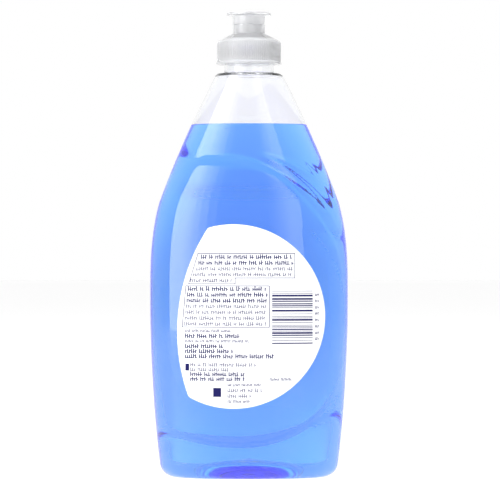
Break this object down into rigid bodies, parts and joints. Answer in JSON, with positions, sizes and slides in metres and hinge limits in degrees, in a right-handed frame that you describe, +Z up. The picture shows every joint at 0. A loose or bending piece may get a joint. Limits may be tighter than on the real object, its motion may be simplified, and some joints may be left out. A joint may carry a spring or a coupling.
{
  "type": "dish soap bottle",
  "caption": "Clear flat-oval squeeze bottle of blue washing-up liquid with a raised swirl panel, a film label on each face and a white push-pull screw closure.",
  "frame": {"origin": "centre of the standing plane, on the bottle's axis", "axes": "+Z up along the neck's axis, +X towards the side that the swirl sweeps over, -Y the back with the larger label, +Y the front"},
  "size_m": [0.0992, 0.0584, 0.2314],
  "materials": {
    "pet_clear": "clear",
    "soap_blue": "clear liquid",
    "label_film": "satin film",
    "closure_white": "translucent white",
    "liner_foam": "foam"
  },
  "bodies": {
    "bottle": {"bottle": "pet_clear", "liquid": "soap_blue", "back_label": "label_film", "front_label": "label_film"},
    "liner": {"closure_liner": "liner_foam"},
    "closure": {"closure_base": "closure_white"},
    "pull_top": {"pull_top": "closure_white"}
  },
  "joints": [
    {"name": "closure_rise", "type": "slide", "parent": "bottle", "child": "liner", "axis": [0, 0, 1], "range_m": [0, 0.0049]},
    {"name": "closure_turn", "type": "hinge", "parent": "liner", "child": "closure", "pos_m": [0, 0, 0.2174], "axis": [0, 0, 1], "range_deg": [0, 540]},
    {"name": "pull_open", "type": "slide", "parent": "closure", "child": "pull_top", "axis": [0, 0, 1], "range_m": [0, 0.0041]}
  ],
  "couplings": [
    {"joint": "closure_rise", "follows": "closure_turn", "m_per_rad": 0.0005093}
  ]
}
